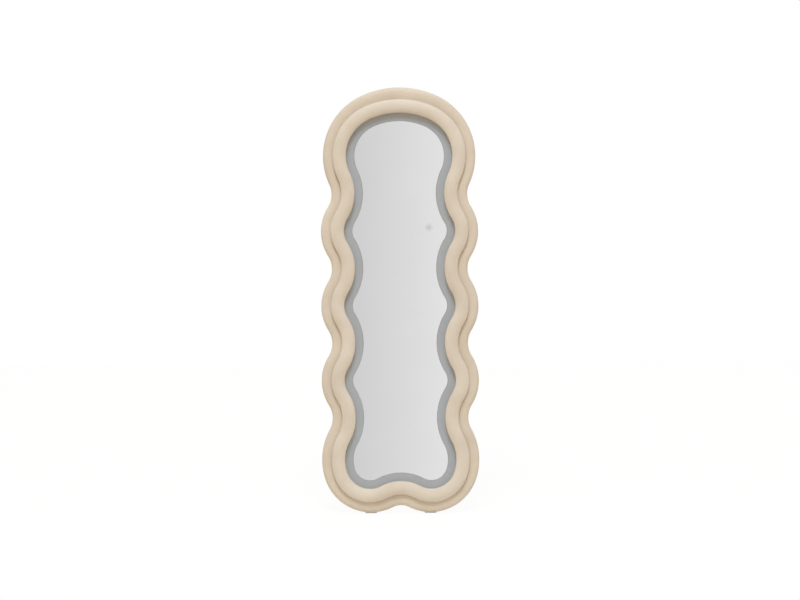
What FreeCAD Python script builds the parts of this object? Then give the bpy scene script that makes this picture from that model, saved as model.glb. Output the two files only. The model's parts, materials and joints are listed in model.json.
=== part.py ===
import FreeCAD, Part
import math
import os
import Sketcher
from FreeCAD import Matrix, Placement, Rotation, Vector

# Full-length wavy mirror on a folding back stand. Every panel piece is drawn
# in the upright panel: X across, Z up, the back board's rear face at Y = 0
# and the front towards -Y. The finished panel then leans back on its stand.
# Frame sections are drawn as (inset from a wavy line, level above the back
# face) and swept along it. The lower tier follows the outer outline. The
# seam line, which is flatter at the crown, carries all that lies inside it.

DIMENSIONS = [
    ("height", 1600, "panel height"),
    ("width", 592, "panel width over the bulges"),
    ("wave_depth", 40.5, "bulge to waist, on one side"),
    ("wave_least_pitch", 265, "least distance between two waists"),
    ("waist_radius", 90, "hollow of each waist"),
    ("crown_inset", 9, "shoulders inside the bulges, on one side"),
    ("shoulder_offset", 36, "shoulder arc centre from the axis"),
    ("crown_turn", 66, "where the crown arc meets the shoulder, degrees"),
    ("side_offset", 60, "hip arc centre from the axis"),
    ("lobe_step", 55, "hip radius less the bottom lobe radius"),
    ("lobe_turn", 19, "where the hip arc meets the lobe, degrees"),
    ("notch_radius", 68, "hollow between the two bottom lobes"),
    ("lower_tier", 37.3, "outline to seam line, at the sides"),
    ("crown_flat", 11.7, "shoulder centres of the seam line, further out"),
    ("lobe_rise", 3.7, "lobe step of the seam line, over the outline's"),
    ("upper_tier", 49.7, "seen width of the upper tier"),
    ("band", 30.5, "seen width of the light band"),
    ("panel_thickness", 5, "back board"),
    ("panel_inset", 28, "back board edge inside the outline"),
    ("core_thickness", 12, "lower wooden ring"),
    ("core_inset", 42.7, "lower wooden ring's inner edge from the seam line"),
    ("upper_core_out", 15, "upper wooden ring's outer edge from the seam line"),
    ("upper_core_in", 36, "upper wooden ring's inner edge from the seam line"),
    ("upper_core_thickness", 22, "upper wooden ring"),
    ("glass_thickness", 4, "mirror and light band"),
    ("side_padding", 4, "covered foam on the outer wall"),
    ("back_turn", 26, "cover turned in on the back"),
    ("back_turn_level", 2, "rear face of the turned-in cover"),
    ("lower_wall", 14, "top of the straight outer wall"),
    ("lower_round", 16, "rounding over the outer wall"),
    ("lower_crown", 70, "gentle fall from the crest to the seam"),
    ("tuck_under", 12, "lower tier under the edge of the upper"),
    ("seam_play", 2, "how far the seam may stray from its even distance"),
    ("upper_wall", 41, "top of the upper tier's straight walls"),
    ("upper_rise", 9, "crown of the upper tier over its walls"),
    ("seam_gap", 0.4, "between the two tiers at the seam"),
    ("joint_gap", 0.8, "between mirror and light band"),
    ("backing_inset", 82.2, "board behind the mirror, from the seam line"),
    ("tape_thickness", 1, "mounting tape behind the mirror"),
    ("tape_width", 24, "mounting tape strip"),
    ("strip_thickness", 0.6, "light strip on the ring's inner wall"),
    ("strip_width", 8, "light strip"),
    ("chip_side", 5, "light chip"),
    ("chip_height", 1.4, "light chip"),
    ("chip_pitch", 62, "distance between light chips"),
    ("touch_x", 185, "touch spot from the panel's side"),
    ("touch_z", 528, "touch spot below the top of the panel"),
    ("touch_length", 50, "touch controller"),
    ("touch_width", 36, "touch controller"),
    ("touch_depth", 9, "touch controller"),
    ("touch_corner", 4, "touch controller's rounded corners"),
    ("touch_room", 2, "board's window round the touch controller"),
    ("touch_disc", 12, "sensing disc radius"),
    ("lead_radius", 1.5, "supply and light leads"),
    ("groove_width", 9, "groove for the leads"),
    ("lead_clear", 8, "light lead from the chips"),
    ("lead_drop", 20, "light lead beside the strip"),
    ("inlet_z", 330, "power inlet above the foot of the panel"),
    ("inlet_length", 46, "power inlet housing"),
    ("inlet_width", 34, "power inlet housing"),
    ("inlet_depth", 16, "power inlet housing"),
    ("inlet_flange", 12, "screw flange of the inlet housing"),
    ("socket_radius", 4.2, "power socket barrel"),
    ("socket_bore", 2.8, "power socket mouth"),
    ("socket_depth", 10, "power socket mouth"),
    ("socket_pin", 1, "power socket centre pin"),
    ("socket_back", 4, "power socket short of the inlet's middle"),
    ("hole_radius", 2.05, "screw holes in metal and plastic"),
    ("hole_margin", 7, "screw hole from the piece's end"),
    ("hanger_x", 166, "wall hanger from the panel's side"),
    ("hanger_z", 260, "wall hanger below the top of the panel"),
    ("hanger_length", 62, "wall hanger plate"),
    ("hanger_width", 30, "wall hanger plate"),
    ("hanger_thickness", 2, "wall hanger plate"),
    ("keyhole_radius", 6, "keyhole entry"),
    ("keyhole_slot", 3, "keyhole slot, half width"),
    ("keyhole_rise", 14, "keyhole entry to the slot's end"),
    ("lean", 9, "panel from upright, degrees"),
    ("floor_drop", 1.6, "floor below the panel's lower back edge"),
    ("foot_length", 44, "floor pad"),
    ("foot_level", 5, "rear end of the floor pad"),
    ("foot_depth", 5, "floor pad, front to back"),
    ("hinge_z", 1000, "stand pivot above the foot of the panel"),
    ("hinge_y", 18, "stand pivot behind the panel"),
    ("leg_x", 140, "stand leg from the axis"),
    ("tube_radius", 9.5, "stand tube"),
    ("tube_wall", 1.2, "stand tube"),
    ("tube_bend", 60, "stand tube corner, on its centre line"),
    ("sleeve_radius", 12.5, "rubber sleeve on the foot bar"),
    ("sleeve_length", 34, "rubber sleeve on the foot bar"),
    ("sleeve_x", 24, "rubber sleeve's middle from the end of the straight foot bar"),
    ("fold_gap", 4, "folded stand above the foot of the panel"),
    ("eye_radius", 11, "stand end eye"),
    ("eye_width", 19, "stand end eye"),
    ("eye_neck", 20, "pivot to the tube's end"),
    ("eye_insert", 26, "eye shank inside the tube"),
    ("pivot_radius", 3, "pivot bolt"),
    ("pivot_clearance", 0.05, "running fit at the pivot"),
    ("press_fit", 0.02, "clearance of pieces that are pressed or pushed in"),
    ("ear_gap", 20.4, "between the bracket's ears"),
    ("plate_thickness", 2, "bracket sheet"),
    ("bracket_width", 58, "bracket base"),
    ("bracket_up", 20, "bracket base above the pivot"),
    ("bracket_down", 42, "bracket base below the pivot"),
    ("stop_radius", 2.5, "stop pin"),
    ("stop_reach", 30, "pivot to the stop pin, along the leg"),
    ("stop_gap", 0.3, "stop pin to the leg when open"),
    ("ear_margin", 7, "ear round the pivot bolt"),
    ("stop_margin", 5, "ear round the stop pin"),
    ("ear_drop", 8, "ear's rear edge below the stop pin"),
    ("ear_lift", 3, "ear's lower corner above the base's end"),
    ("bolt_head", 5.4, "pivot bolt head radius"),
    ("bolt_rise", 3.9, "pivot bolt head height"),
    ("bolt_tail", 8, "pivot bolt past the inner ear"),
    ("nut_radius", 5.7, "pivot nut over its corners"),
    ("nut_height", 5, "pivot nut"),
]

doc = FreeCAD.newDocument("wavy_mirror")
dims = doc.addObject("Spreadsheet::Sheet", "dims")
for row, (alias, size, note) in enumerate(DIMENSIONS, start=1):
    dims.set(f"A{row}", note)
    dims.set(f"B{row}", str(size))
    dims.setAlias(f"B{row}", alias)
doc.recompute()

X_AXIS = Vector(1, 0, 0)
Y_AXIS = Vector(0, 1, 0)
Z_AXIS = Vector(0, 0, 1)
UPRIGHT = Rotation(X_AXIS, 90)
BAND_IN = "dims.upper_tier + dims.band"
CORE_TOP = "dims.panel_thickness + dims.core_thickness"
GLASS_TOP = "dims.panel_thickness + dims.core_thickness + dims.glass_thickness"
TAPE_BACK = "dims.panel_thickness + dims.core_thickness - dims.tape_thickness"
TOUCH_X = "(dims.width / 2 - dims.touch_x)"
TOUCH_Z = "(dims.height - dims.touch_z)"
HANGER_X = "(dims.width / 2 - dims.hanger_x)"
HANGER_Z = "(dims.height - dims.hanger_z)"
LEG = "(dims.hinge_z - dims.sleeve_radius - dims.fold_gap)"
FOOT_BAR = "(dims.leg_x - dims.tube_bend)"
# Mounting tape strips: places across half the mirror's least width
TAPE_SHARES = (-0.82, -0.35, 0.35, 0.82)


def num(text):
    return float(dims.evalExpression(text))


def shift(x, y, z):
    return Placement(Vector(x, y, z), Rotation())


def bind(sketch, constraint, text):
    index = sketch.addConstraint(constraint)
    sketch.setExpression(f"Constraints[{index}]", text)


def bind_corner(sketch, geo, end, across, along):
    """Ties one sketch point to the sheet, or to an axis where it lies on it."""
    for kind, axis, text in (("DistanceX", -2, across), ("DistanceY", -1, along)):
        if abs(num(text)) < 1e-9:
            sketch.addConstraint(Sketcher.Constraint("PointOnObject", geo, end, axis))
        else:
            bind(sketch, Sketcher.Constraint(kind, -1, 1, geo, end, num(text)), text)


def arc_right(start, stop, radius):
    """The short arc from start to stop with its centre on the right."""
    chord = stop - start
    reach = math.sqrt(max(radius ** 2 - chord.Length ** 2 / 4, 0))
    side = Vector(chord.y, -chord.x, 0).normalize()
    centre = (start + stop) * 0.5 + side * reach
    first = math.atan2(stop.y - centre.y, stop.x - centre.x)
    last = math.atan2(start.y - centre.y, start.x - centre.x)
    if last < first:
        last += 2 * math.pi
    return Part.ArcOfCircle(Part.Circle(centre, Z_AXIS, radius), first, last)


def trace(sketch, corners, arcs=None):
    """Draws a closed profile clockwise. Edge i leaves corner i, as a line or
    as an arc of the given radius, and each corner is bound to the sheet."""
    arcs = arcs or {}
    points = [Vector(num(across), num(along), 0) for across, along in corners]
    edges = []
    for i, start in enumerate(points):
        stop = points[(i + 1) % len(points)]
        if i in arcs:
            geo = sketch.addGeometry(arc_right(start, stop, num(arcs[i])), False)
            edges.append((geo, 2, 1))
        else:
            geo = sketch.addGeometry(Part.LineSegment(start, stop), False)
            edges.append((geo, 1, 2))
    for (geo, _, end), (following, start, _) in zip(edges, edges[1:] + edges[:1]):
        sketch.addConstraint(Sketcher.Constraint("Coincident", geo, end, following, start))
    for (geo, start, _), (across, along) in zip(edges, corners):
        bind_corner(sketch, geo, start, across, along)
    for i, radius in arcs.items():
        bind(sketch, Sketcher.Constraint("Radius", edges[i][0], num(radius)), radius)
    return sketch


def circle(sketch, across, along, radius):
    centre = Vector(num(across), num(along), 0)
    geo = sketch.addGeometry(Part.Circle(centre, Z_AXIS, num(radius)), False)
    bind_corner(sketch, geo, 3, across, along)
    bind(sketch, Sketcher.Constraint("Radius", geo, num(radius)), radius)


def body_sketch(body, name, role, offset=None):
    """A sketch on one of the body's own origin planes."""
    sketch = body.newObject("Sketcher::SketchObject", name)
    plane = [item for item in body.Origin.OriginFeatures if item.Role == role][0]
    sketch.AttachmentSupport = [(plane, "")]
    sketch.MapMode = "FlatFace"
    if offset:
        sketch.setExpression("AttachmentOffset.Base.z", offset)
    return sketch


def feature(body, kind, name, sketch, length, both=False, through=False):
    """A Pad or a Pocket of one sketch."""
    made = body.newObject(f"PartDesign::{kind}", name)
    made.Profile = sketch
    if through:
        made.Type = "ThroughAll"
    else:
        made.setExpression("Length", length)
    if both:
        made.Midplane = True
    sketch.Visibility = False
    doc.recompute()
    return made


def primitive(kind, name, place, **sizes):
    """A Part primitive whose sizes are bound to the sheet."""
    made = doc.addObject(f"Part::{kind}", name)
    for key, text in sizes.items():
        made.setExpression(key, text)
    made.Placement = place
    return made


def boolean(kind, name, base, tool):
    made = doc.addObject(f"Part::{kind}", name)
    made.Base = base
    made.Tool = tool
    return made


def group(name, shapes):
    """Separate equal solids kept as one node."""
    made = doc.addObject("Part::Feature", name)
    made.Shape = Part.makeCompound(shapes)
    return made


# A wavy line is a chain of tangent arcs, worked out for the right half from
# the crown down to the notch and mirrored to the left. The seam line is the
# outline moved inwards, with its crown flatter and its lobes a little higher.
OUTLINE = ("0", "0", "0")
SEAM_LINE = ("dims.lower_tier", "dims.crown_flat", "dims.lobe_rise")


def line_circles(shape):
    """Centre across, centre height, radius and +1 or -1 for swell or hollow."""
    inset, flat, rise = [num(text) for text in shape]
    half = num("dims.width / 2")
    depth = num("dims.wave_depth")
    waist = num("dims.waist_radius") + inset
    turn = math.radians(num("dims.crown_turn"))
    outer_shoulder = half - num("dims.crown_inset + dims.shoulder_offset")
    shoulder_z = num("dims.height") - outer_shoulder
    shoulder_z -= num("dims.shoulder_offset") * (1 - math.sin(turn)) / math.cos(turn)
    shoulder = outer_shoulder - inset - flat
    shoulder_x = num("dims.shoulder_offset") + flat
    crown = shoulder + shoulder_x / math.cos(turn)
    crown_z = shoulder_z - (crown - shoulder) * math.sin(turn)
    waist_x = half - inset - depth + waist
    top_waist = shoulder_z - math.sqrt((shoulder + waist) ** 2 - (waist_x - shoulder_x) ** 2)
    turn = math.radians(num("dims.lobe_turn"))
    hip_x = num("dims.side_offset")
    hip = half - hip_x - inset
    hip_z = half - hip_x - num("dims.lobe_step") * (1 - math.sin(turn))
    step = num("dims.lobe_step") + rise
    lobe = hip - step
    lobe_x = hip_x + step * math.cos(turn)
    lobe_z = hip_z - step * math.sin(turn)
    low_waist = hip_z + math.sqrt((hip + waist) ** 2 - (waist_x - hip_x) ** 2)
    # the number of waves is that of the outline
    reach = outer_shoulder + num("dims.waist_radius")
    outer_waist = shoulder_z - math.sqrt(reach ** 2 - (waist_x - shoulder_x + flat) ** 2)
    waves = max(1, math.floor((outer_waist - low_waist) / num("dims.wave_least_pitch")))
    pitch = (top_waist - low_waist) / waves
    bulge = (depth ** 2 + pitch ** 2 / 4) / (2 * depth) - waist
    notch = num("dims.notch_radius") + inset
    notch_z = lobe_z - math.sqrt((lobe + notch) ** 2 - lobe_x ** 2)
    chain = [(0, crown_z, crown, 1), (shoulder_x, shoulder_z, shoulder, 1)]
    for i in range(waves):
        chain.append((waist_x, top_waist - i * pitch, waist, -1))
        chain.append((half - inset - bulge, top_waist - (i + 0.5) * pitch, bulge, 1))
    chain.append((waist_x, low_waist, waist, -1))
    chain.append((hip_x, hip_z, hip, 1))
    chain.append((lobe_x, lobe_z, lobe, 1))
    chain.append((0, notch_z, notch, -1))
    return chain


def line_top(shape):
    """Height of a line's crown, as an expression."""
    inset, flat, _ = shape
    fall = "(1 - (1 - sin(dims.crown_turn)) / cos(dims.crown_turn))"
    return f"dims.height - {inset} - {flat} * {fall}"


def touch_points(chain):
    """Where each arc hands over to the next, from the crown to the notch."""
    points = [Vector(0, chain[0][1] + chain[0][2], 0)]
    for (x1, z1, r1, s1), (x2, z2, r2, s2) in zip(chain, chain[1:]):
        here = Vector(x1, z1, 0)
        there = Vector(x2, z2, 0)
        towards = (there - here).normalize()
        if s1 == s2 and r1 < r2:
            towards = towards * -1
        points.append(here + towards * r1)
    points.append(Vector(0, chain[-1][1] + chain[-1][2], 0))
    return points


def mirrored(point):
    return Vector(-point.x, point.y, 0)


def draw_line(name, shape):
    inset, flat, rise = shape
    sketch = doc.addObject("Sketcher::SketchObject", name)
    sketch.Placement = Placement(Vector(), UPRIGHT)
    chain = line_circles(shape)
    points = touch_points(chain)
    right = []
    left = []
    for (x, z, radius, swell), start, stop in zip(chain, points, points[1:]):
        for side, ends in ((1, (stop, start)), (-1, (start, stop))):
            centre = Vector(side * x, z, 0)
            first, last = ends if swell > 0 else ends[::-1]
            if side < 0:
                first = mirrored(first)
                last = mirrored(last)
            begin = math.atan2(first.y - centre.y, first.x - centre.x)
            finish = math.atan2(last.y - centre.y, last.x - centre.x)
            if finish < begin:
                finish += 2 * math.pi
            arc = Part.ArcOfCircle(Part.Circle(centre, Z_AXIS, radius), begin, finish)
            geo = sketch.addGeometry(arc, False)
            # the end nearer the crown, then the end nearer the notch
            crown_last = (swell > 0) == (side > 0)
            ends_at = (2, 1) if crown_last else (1, 2)
            (right if side > 0 else left).append((geo, *ends_at))
    for side in (right, left):
        for (geo, _, end), (following, start, _) in zip(side, side[1:]):
            sketch.addConstraint(Sketcher.Constraint("Tangent", geo, end, following, start))
    for i, end in ((0, 1), (-1, 2)):
        pair = (right[i][0], right[i][end], left[i][0], left[i][end])
        sketch.addConstraint(Sketcher.Constraint("Coincident", *pair))
        sketch.addConstraint(Sketcher.Constraint("Coincident", right[i][0], 3, left[i][0], 3))
    hip = f"dims.width / 2 - dims.side_offset - {inset}"
    sizes = {1: f"dims.width / 2 - dims.crown_inset - dims.shoulder_offset - {inset} - {flat}"}
    for i in range(2, len(chain) - 3, 2):
        sizes[i] = f"dims.waist_radius + {inset}"
    sizes[len(chain) - 3] = hip
    sizes[len(chain) - 2] = f"{hip} - dims.lobe_step - {rise}"
    for i, text in sizes.items():
        for side in (right, left):
            bind(sketch, Sketcher.Constraint("Radius", side[i][0], num(text)), text)
    notch = f"dims.notch_radius + {inset}"
    bind(sketch, Sketcher.Constraint("Radius", right[-1][0], num(notch)), notch)
    bind_corner(sketch, right[0][0], right[0][1], "0", line_top(shape))
    doc.recompute()
    return sketch


LINES = {OUTLINE: draw_line("outline", OUTLINE), SEAM_LINE: draw_line("seam_line", SEAM_LINE)}
CROWN_PLANE = Rotation(Matrix(0, 0, -1, 0, 0, -1, 0, 0, -1, 0, 0, 0, 0, 0, 0, 1))


def ring(node, shape, corners, arcs=None):
    """Sweeps one (inset, level) section along a wavy line."""
    section = doc.addObject("Sketcher::SketchObject", f"{node}_section")
    section.Placement = Placement(Vector(0, 0, num(line_top(shape))), CROWN_PLANE)
    section.setExpression("Placement.Base.z", line_top(shape))
    trace(section, corners, arcs)
    edges = len(LINES[shape].Shape.Edges)
    sweep = doc.addObject("Part::Sweep", f"{node}_sweep")
    sweep.Sections = [section]
    sweep.Spine = (LINES[shape], [f"Edge{i + 1}" for i in range(edges)])
    sweep.Solid = True
    sweep.Frenet = False
    return sweep


def plate(name, shape, inset, low, high):
    """A board or pane inside a wavy line, between two levels."""
    edge = doc.addObject("Part::Offset2D", f"{name}_edge")
    edge.Source = LINES[shape]
    edge.setExpression("Value", f"-({inset})")
    made = doc.addObject("Part::Extrusion", name)
    made.Base = edge
    made.DirMode = "Custom"
    made.Dir = Vector(0, -1, 0)
    made.setExpression("LengthFwd", f"{high} - ({low})")
    made.Solid = True
    if low != "0":
        made.setExpression("Placement.Base.y", f"-({low})")
    return made


def ring_board(node, outer, inner, low, high):
    """A flat ring between two edges, each an inset of a wavy line."""
    rim = plate(f"{node}_rim", *outer, low, high)
    middle = plate(f"{node}_middle", *inner, low, high)
    return boolean("Cut", f"{node}_ring", rim, middle)


def inner_wire(inset):
    return LINES[SEAM_LINE].Shape.Wires[0].makeOffset2D(-inset)


def along(inset, count):
    """Points evenly spaced inside the seam line, with directions."""
    steps = inner_wire(inset).discretize(Number=4 * count + 1)
    found = []
    for i in range(count):
        before = steps[4 * i]
        here = steps[4 * i + 1]
        after = steps[4 * i + 2]
        found.append((here, (after - before).normalize()))
    return found


# Padded frame: two wooden rings, each under foam with a bonded flannel face.

def lower_core():
    outer = (OUTLINE, "dims.side_padding")
    inner = (SEAM_LINE, "dims.core_inset")
    return ring_board("lower_core", outer, inner, "dims.panel_thickness", CORE_TOP)


def upper_core():
    outer = (SEAM_LINE, "dims.upper_core_out")
    inner = (SEAM_LINE, "dims.upper_core_in")
    top = f"{CORE_TOP} + dims.upper_core_thickness"
    return ring_board("upper_core", outer, inner, CORE_TOP, top)


def lower_level(inset):
    """Level of the lower tier's face, past its crest."""
    fall = f"dims.lower_crown - sqrt(dims.lower_crown ^ 2 - ({inset} - dims.lower_round) ^ 2)"
    return f"dims.lower_wall + dims.lower_round - ({fall})"


def lower_padding():
    """Outer wall, a round over it, and a face that falls in under the upper tier."""
    end = "dims.lower_tier + dims.tuck_under"
    top = "dims.lower_wall + dims.lower_round"
    heel = "dims.side_padding + 1"
    corners = [
        ("dims.back_turn", "dims.panel_thickness"),
        ("dims.back_turn", "dims.back_turn_level"),
        (heel, "dims.back_turn_level"),
        ("0", f"dims.back_turn_level + {heel}"),
        ("0", "dims.lower_wall"),
        ("dims.lower_round", top),
        (end, lower_level(end)),
        (end, CORE_TOP),
        ("dims.side_padding", CORE_TOP),
        ("dims.side_padding", "dims.panel_thickness"),
    ]
    arcs = {4: "dims.lower_round", 5: "dims.lower_crown"}
    return ring("lower_padding", OUTLINE, corners, arcs)


def upper_padding():
    """Crowned pad over the upper ring. Its outer edge lies on the lower tier
    and its inner lip over the edge of the light band."""
    foot = lower_level("dims.lower_tier - dims.seam_play") + " + dims.seam_gap"
    lip = f"{GLASS_TOP} + dims.seam_gap"
    top = f"{CORE_TOP} + dims.upper_core_thickness"
    crest = "dims.upper_wall + dims.upper_rise"
    radius = "(dims.upper_tier ^ 2 / 4 + dims.upper_rise ^ 2) / (2 * dims.upper_rise)"
    corners = [
        ("0", foot),
        ("0", "dims.upper_wall"),
        ("dims.upper_tier / 2", crest),
        ("dims.upper_tier", "dims.upper_wall"),
        ("dims.upper_tier", lip),
        ("dims.upper_core_in", lip),
        ("dims.upper_core_in", top),
        ("dims.upper_core_out", top),
        ("dims.upper_core_out", foot),
    ]
    return ring("upper_padding", SEAM_LINE, corners, {1: radius, 2: radius})


def light_band():
    outer = (SEAM_LINE, "dims.upper_core_in + dims.seam_gap")
    inner = (SEAM_LINE, f"{BAND_IN} - dims.joint_gap / 2")
    return ring_board("light_band", outer, inner, CORE_TOP, GLASS_TOP)


def mirror_glass():
    inset = f"{BAND_IN} + dims.joint_gap / 2"
    pane = plate("mirror_pane", SEAM_LINE, inset, "0", "dims.glass_thickness")
    return pane, shift(0, -num(CORE_TOP), 0)


def light_strip():
    middle = "(dims.panel_thickness + dims.core_thickness / 2)"
    low = f"{middle} - dims.strip_width / 2"
    high = f"{middle} + dims.strip_width / 2"
    outer = (SEAM_LINE, "dims.core_inset")
    inner = (SEAM_LINE, "dims.core_inset + dims.strip_thickness")
    return ring_board("light_strip", outer, inner, low, high)


def light_chips():
    """Square light chips on the strip, facing the middle of the mirror."""
    inset = num("dims.core_inset + dims.strip_thickness")
    side = num("dims.chip_side")
    rise = num("dims.chip_height")
    level = num("dims.panel_thickness + dims.core_thickness / 2")
    count = math.floor(inner_wire(inset).Length / num("dims.chip_pitch"))
    middle = Vector(0, 0, num("dims.height / 2"))
    steps = along(inset, count)
    facing = Y_AXIS
    if sum(heading.cross(Y_AXIS).dot(middle - point) for point, heading in steps) < 0:
        facing = Y_AXIS * -1
    chips = []
    for point, heading in steps:
        inwards = heading.cross(facing)
        turn = Rotation(heading, Vector(), inwards, "ZXY")
        chip = Part.makeBox(side, side, rise, Vector(-side / 2, -side / 2, 0.15))
        chip.Placement = Placement(point + Vector(0, -level, 0), turn)
        chips.append(chip)
    return group("chips", chips)


# Boards behind the mirror, with their cut-outs.

def keyhole_well(name, depth):
    """Room behind each keyhole for the head of the wall screw."""
    wells = []
    radius = num("dims.keyhole_radius + 2")
    for side in (-1, 1):
        x = side * num(HANGER_X)
        low = num(f"{HANGER_Z} - dims.keyhole_rise / 2")
        rise = num("dims.keyhole_rise")
        well = Part.makeBox(2 * radius, depth + 1, rise, Vector(x - radius, -depth, low))
        for z in (low, low + rise):
            well = well.fuse(Part.makeCylinder(radius, depth + 1, Vector(x, 1, z), Y_AXIS * -1))
        wells.append(well)
    return group(name, wells)


def back_panel():
    board = plate("panel_board", OUTLINE, "dims.panel_inset", "0", "dims.panel_thickness")
    lead_hole = primitive(
        "Cylinder",
        "panel_lead_hole",
        Placement(Vector(0, 1, num("dims.inlet_z")), Rotation(X_AXIS, 90)),
        Radius="dims.groove_width / 2",
        Height="dims.panel_thickness + 2",
    )
    board = boolean("Cut", "panel_passed", board, lead_hole)
    wells = keyhole_well("panel_wells", num("dims.panel_thickness") + 1)
    return boolean("Cut", "panel_cut", board, wells)


def mirror_backing():
    board = plate("backing_board", SEAM_LINE, "dims.backing_inset", "dims.panel_thickness", TAPE_BACK)
    groove = num("dims.groove_width")
    front = -num(CORE_TOP)
    touch_z = num(TOUCH_Z)
    window_x = num(f"{TOUCH_X} - dims.touch_length / 2 - dims.touch_room")
    window_z = num(f"{TOUCH_Z} - dims.touch_width / 2 - dims.touch_room")
    riser = primitive(
        "Box",
        "backing_riser",
        shift(-groove / 2, front, num("dims.inlet_z") - groove / 2),
        Length="dims.groove_width",
        Width="dims.core_thickness",
        Height=f"{TOUCH_Z} - dims.inlet_z + dims.groove_width",
    )
    crossing = primitive(
        "Box",
        "backing_crossing",
        shift(-groove / 2, front, touch_z - groove / 2),
        Length="dims.width / 2",
        Width="dims.core_thickness",
        Height="dims.groove_width",
    )
    window = primitive(
        "Box",
        "backing_window",
        shift(window_x, front, window_z),
        Length="dims.touch_length + 2 * dims.touch_room",
        Width="dims.core_thickness",
        Height="dims.touch_width + 2 * dims.touch_room",
    )
    wells = keyhole_well("backing_wells", num("dims.panel_thickness + dims.core_thickness / 2"))
    for tool in (riser, crossing, window, wells):
        board = boolean("Cut", f"backing_less_{tool.Name}", board, tool)
    return board


def mirror_tapes():
    """Upright strips of mounting tape between the board and the mirror."""
    reach = num("dims.width / 2 - dims.wave_depth - dims.lower_tier - dims.backing_inset")
    width = num("dims.tape_width")
    low = num("dims.height / 5")
    strips = []
    for share in TAPE_SHARES:
        x = share * reach - width / 2
        high = num("dims.height * 4 / 5")
        if share > 0:
            high = num(f"{TOUCH_Z} - dims.touch_width / 2 - dims.tape_width / 2")
        size = (width, num("dims.tape_thickness"), high - low)
        strips.append(Part.makeBox(*size, Vector(x, -num(CORE_TOP), low)))
    return group("tapes", strips)


# Touch controller, power inlet and their leads.

def touch_module():
    body = doc.addObject("PartDesign::Body", "touch_body")
    sketch = body_sketch(body, "touch_outline", "XZ_Plane")
    half = "dims.touch_length / 2"
    tall = "dims.touch_width / 2"
    trace(sketch, [(f"-({half})", f"-({tall})"), (f"-({half})", tall), (half, tall), (half, f"-({tall})")])
    pad = feature(body, "Pad", "touch_pad", sketch, "dims.touch_depth")
    rounded = body.newObject("PartDesign::Fillet", "touch_corners")
    corners = []
    for i, edge in enumerate(pad.Shape.Edges, 1):
        if edge.tangentAt(edge.FirstParameter).cross(Y_AXIS).Length < 1e-6:
            corners.append(f"Edge{i}")
    rounded.Base = (pad, corners)
    rounded.setExpression("Radius", "dims.touch_corner")
    doc.recompute()
    rear = num(f"{CORE_TOP} - dims.tape_thickness - dims.touch_depth")
    return body, shift(num(TOUCH_X), -rear, num(TOUCH_Z))


def touch_disc():
    place = Placement(Vector(num(TOUCH_X), -num(TAPE_BACK), num(TOUCH_Z)), UPRIGHT)
    return primitive("Cylinder", "disc", place, Radius="dims.touch_disc", Height="dims.tape_thickness")


def inlet_housing():
    """Moulded housing with the socket's mouth in its lower side."""
    body = doc.addObject("PartDesign::Body", "inlet_body")
    sketch = body_sketch(body, "inlet_outline", "XZ_Plane")
    half = "dims.inlet_length / 2"
    tall = "dims.inlet_width / 2"
    trace(sketch, [(f"-({half})", f"-({tall})"), (f"-({half})", tall), (half, tall), (half, f"-({tall})")])
    flange = feature(body, "Pad", "inlet_flange", sketch, "dims.plate_thickness + 1")
    flange.Reversed = True
    hump = body_sketch(body, "inlet_hump_outline", "XZ_Plane")
    near = "dims.inlet_length / 2 - dims.inlet_flange"
    trace(hump, [(f"-({near})", f"-({tall})"), (f"-({near})", tall), (near, tall), (near, f"-({tall})")])
    raised = feature(body, "Pad", "inlet_hump", hump, "dims.inlet_depth")
    raised.Reversed = True
    doc.recompute()
    mouth = body_sketch(body, "inlet_mouth_outline", "XY_Plane", f"-({tall})")
    circle(mouth, "0", "dims.inlet_depth / 2", "dims.socket_radius + dims.press_fit")
    bore = feature(body, "Pocket", "inlet_mouth", mouth, "dims.inlet_width / 2 + 2")
    bore.Reversed = True
    well = body_sketch(body, "inlet_well_outline", "XZ_Plane")
    circle(well, "0", "0", "dims.groove_width / 2")
    passage = feature(body, "Pocket", "inlet_well", well, "dims.inlet_depth / 2")
    passage.Reversed = False
    holes = body_sketch(body, "inlet_hole_outline", "XZ_Plane")
    for sign in ("", "-"):
        circle(holes, f"{sign}(dims.inlet_length / 2 - dims.hole_margin)", "0", "dims.hole_radius")
    feature(body, "Pocket", "inlet_holes", holes, None, through=True)
    doc.recompute()
    return body, shift(0, 0, num("dims.inlet_z"))


def power_socket():
    """Barrel socket: a sleeve with a round mouth and a thin centre pin."""
    body = doc.addObject("PartDesign::Body", "socket_body")
    sketch = body_sketch(body, "socket_profile", "XZ_Plane")
    back = "dims.inlet_width / 2 - dims.socket_back"
    corners = [
        ("0", "dims.socket_pin"),
        ("0", back),
        ("dims.socket_radius", back),
        ("dims.socket_radius", "0"),
        ("dims.socket_bore", "0"),
        ("dims.socket_bore", "dims.socket_depth"),
        ("dims.socket_pin", "dims.socket_depth"),
        ("dims.socket_pin", "dims.socket_pin"),
    ]
    trace(sketch, corners)
    turned = body.newObject("PartDesign::Revolution", "socket_turned")
    turned.Profile = sketch
    turned.ReferenceAxis = (sketch, ["V_Axis"])
    turned.Angle = 360
    doc.recompute()
    return body, shift(0, num("dims.inlet_depth / 2"), num("dims.inlet_z - dims.inlet_width / 2"))


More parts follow.
